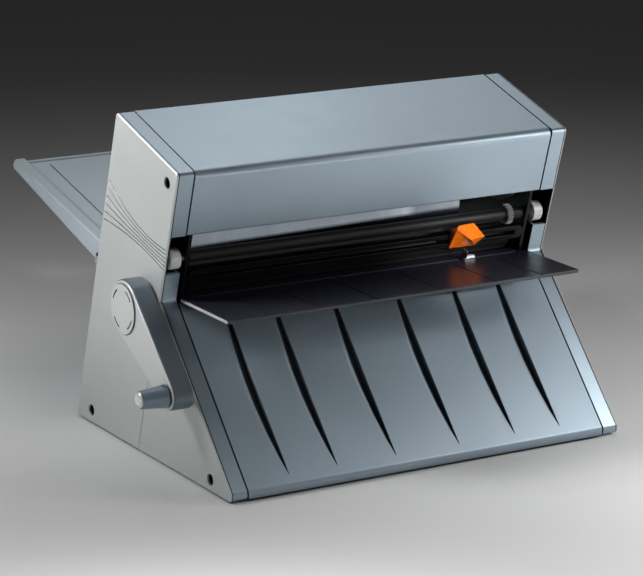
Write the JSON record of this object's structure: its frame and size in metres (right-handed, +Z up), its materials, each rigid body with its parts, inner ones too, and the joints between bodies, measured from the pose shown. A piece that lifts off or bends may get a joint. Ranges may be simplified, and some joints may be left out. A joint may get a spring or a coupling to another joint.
{
  "type": "cold roll laminator",
  "caption": "Tabletop hand-cranked cold laminator with nip rollers, film rolls, rear feed tray, front exit shelf and a sliding cutter.",
  "frame": {"origin": "on the table surface, midway between the side covers, below the front lip", "axes": "+X to the operator's right, +Y to the rear where the sheet goes in, +Z up"},
  "size_m": [0.4834, 0.4961, 0.3216],
  "materials": {
    "black_rubber": "matte",
    "black_steel": "satin",
    "brass": "satin",
    "card_core": "matte",
    "cover_plastic": "satin",
    "dark_plastic": "semi-gloss",
    "film": "gloss",
    "grey_plastic": "satin",
    "orange_plastic": "gloss",
    "ramp_plastic": "satin",
    "skin_plastic": "satin",
    "slate_plastic": "satin",
    "steel": "brushed",
    "white_plastic": "gloss"
  },
  "bodies": {
    "machine": {"base_plate": "black_steel", "cutter_rail": "black_steel", "cutter_rail_brackets": "black_steel", "exit_shelf": "dark_plastic", "feed_plate": "black_steel", "left_bearing_plate": "black_steel", "left_front_cheek": "cover_plastic", "left_side_cover": "cover_plastic", "left_side_frame": "skin_plastic", "lower_roll_spindles": "steel", "ramp_panel": "ramp_plastic", "rear_cover": "skin_plastic", "rear_lower_panel": "skin_plastic", "right_bearing_plate": "black_steel", "right_front_cheek": "cover_plastic", "right_side_cover": "cover_plastic", "right_side_frame": "skin_plastic", "roller_bushes": "brass", "rubber_feet": "black_rubber", "shelf_beam": "black_steel", "side_cover_screws": "steel", "tie_rods": "steel", "top_cover": "skin_plastic", "tray_hinge_brackets": "black_steel", "tray_hinge_pins": "steel", "upper_film_web": "film", "upper_roll_spindles": "steel"},
    "crank_drive": {"crank_arm": "cover_plastic", "crank_hub_disc": "cover_plastic", "crank_grip_pin": "steel", "grip_cap": "grey_plastic", "lower_roller_shaft": "steel", "lower_roller_sleeve": "black_rubber", "lower_roller_gear": "grey_plastic"},
    "grip": {"crank_grip": "slate_plastic"},
    "upper_roller": {"upper_roller_shaft": "steel", "upper_roller_sleeve": "black_rubber", "upper_roller_gear": "grey_plastic"},
    "guide_roller": {"guide_roller": "dark_plastic", "guide_roller_shaft": "steel", "guide_roller_knobs": "white_plastic", "guide_toothed_ring": "grey_plastic"},
    "upper_film": {"upper_film_core": "card_core", "upper_film_roll": "film", "upper_core_plugs": "grey_plastic"},
    "lower_film": {"lower_film_core": "card_core", "lower_film_roll": "film", "lower_core_plugs": "grey_plastic"},
    "feed_tray": {"feed_tray_pan": "skin_plastic", "feed_tray_left_rail": "skin_plastic", "feed_tray_right_rail": "skin_plastic"},
    "cutter": {"cutter_grip": "orange_plastic", "cutter_shoe": "grey_plastic", "cutter_blade": "steel", "blade_guard": "white_plastic"}
  },
  "joints": [
    {"name": "crank_spin", "type": "hinge", "parent": "machine", "child": "crank_drive", "pos_m": [0, 0.16282, 0.14779], "axis": [1, 0, 0], "continuous": true},
    {"name": "grip_spin", "type": "hinge", "parent": "crank_drive", "child": "grip", "pos_m": [0, 0.07809, 0.08578], "axis": [1, 0, 0], "continuous": true},
    {"name": "upper_roller_spin", "type": "hinge", "parent": "machine", "child": "upper_roller", "pos_m": [0, 0.156, 0.1708], "axis": [1, 0, 0], "continuous": true},
    {"name": "guide_roller_spin", "type": "hinge", "parent": "machine", "child": "guide_roller", "pos_m": [0, 0.13493, 0.19794], "axis": [1, 0, 0], "continuous": true},
    {"name": "upper_film_spin", "type": "hinge", "parent": "machine", "child": "upper_film", "pos_m": [0, 0.1741, 0.2523], "axis": [1, 0, 0], "continuous": true},
    {"name": "lower_film_spin", "type": "hinge", "parent": "machine", "child": "lower_film", "pos_m": [0, 0.22047, 0.08873], "axis": [1, 0, 0], "continuous": true},
    {"name": "feed_tray_fold", "type": "hinge", "parent": "machine", "child": "feed_tray", "pos_m": [0, 0.28265, 0.164], "axis": [1, 0, 0], "range_deg": [0, 85]},
    {"name": "cutter_slide", "type": "slide", "parent": "machine", "child": "cutter", "axis": [1, 0, 0], "range_m": [-0.278, 0.048]}
  ],
  "couplings": [
    {"joint": "upper_roller_spin", "follows": "crank_spin", "ratio": -1},
    {"joint": "guide_roller_spin", "follows": "crank_spin", "ratio": 1.165},
    {"joint": "upper_film_spin", "follows": "crank_spin", "ratio": 0.3},
    {"joint": "lower_film_spin", "follows": "crank_spin", "ratio": 0.3}
  ]
}
